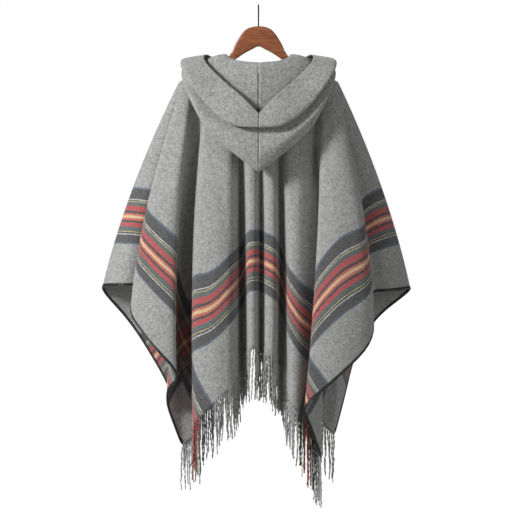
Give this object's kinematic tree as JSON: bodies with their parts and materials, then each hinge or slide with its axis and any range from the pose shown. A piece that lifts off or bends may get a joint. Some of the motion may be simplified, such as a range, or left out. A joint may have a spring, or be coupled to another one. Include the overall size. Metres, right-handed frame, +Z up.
{
  "type": "hooded blanket cape on a wooden hanger",
  "caption": "Hooded open-front blanket cape in felted wool with woven border stripes, bound side edges and fringed hems, hanging from a wooden hanger.",
  "frame": {"origin": "inner top of the hanger's hook, where it rests on its rail", "axes": "+Z up; -Y towards whoever sees the garment's back, the side in the picture; +X to that viewer's right, along the hanger's arm"},
  "size_m": [0.8574, 0.3387, 1.3617],
  "materials": {
    "wool": "felted melange wool, light grey, with woven border stripes",
    "binding": "black folded strip, satin",
    "yarn": "twisted wool cords",
    "wood": "red-brown stained, satin lacquer",
    "wire": "black wire"
  },
  "bodies": {
    "root": {"front_left_pleats": "wool", "front_left_panel": "wool", "front_left_side": "wool", "back_left_wing": "wool", "back_left_lobe": "wool", "back_left_flap": "wool", "back_left_panel": "wool", "back_left_tuck": "wool", "back_centre": "wool", "back_right_tuck": "wool", "back_right_panel": "wool", "back_right_turn": "wool", "back_right_flap": "wool", "back_right_lobe": "wool", "back_right_wing": "wool", "front_right_side": "wool", "front_right_corner": "wool", "front_right_panel": "wool", "front_right_pleats": "wool", "hood_left": "wool", "hood_right": "wool", "binding_side_left": "binding", "binding_side_right": "binding", "binding_front_left": "binding", "binding_front_right": "binding", "fringe_back": "yarn", "fringe_front_left": "yarn", "fringe_front_right": "yarn", "hanger_arm": "wood", "hanger_hook": "wire"}
  },
  "joints": []
}
